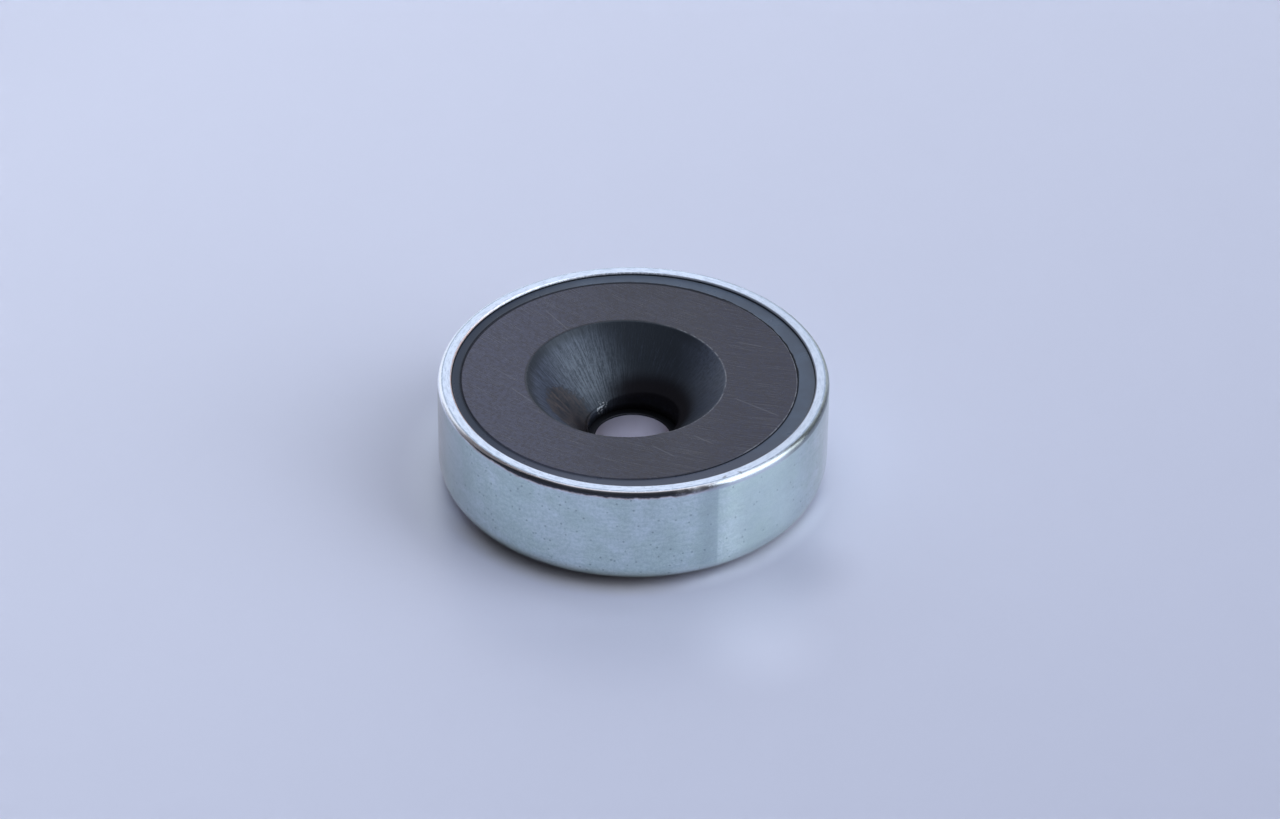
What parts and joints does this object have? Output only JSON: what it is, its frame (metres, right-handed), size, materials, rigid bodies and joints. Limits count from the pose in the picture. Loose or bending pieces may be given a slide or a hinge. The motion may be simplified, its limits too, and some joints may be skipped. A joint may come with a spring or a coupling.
{
  "type": "pot magnet",
  "caption": "Round pot magnet: a zinc-plated steel cup with a countersunk ferrite ring magnet set in resin and a through hole for a countersunk screw.",
  "frame": {"origin": "middle of the cup's underside, on the axis of the screw hole", "axes": "+Z along the screw hole, from the underside to the holding face; -X is the side towards which the magnet sits off centre"},
  "size_m": [0.02, 0.02, 0.006],
  "materials": {
    "zinc_plated_steel": "bright zinc plate with a faint blue-green passivation, satin on the side and ground on the rim",
    "ferrite": "sintered ferrite, face ground with fine straight scratches, countersink as pressed with streaks down its slope",
    "resin": "blue-grey cast resin, smooth with a soft sheen"
  },
  "bodies": {
    "root": {"steel_cup": "zinc_plated_steel", "ferrite_magnet": "ferrite", "potting_resin": "resin"}
  },
  "joints": []
}
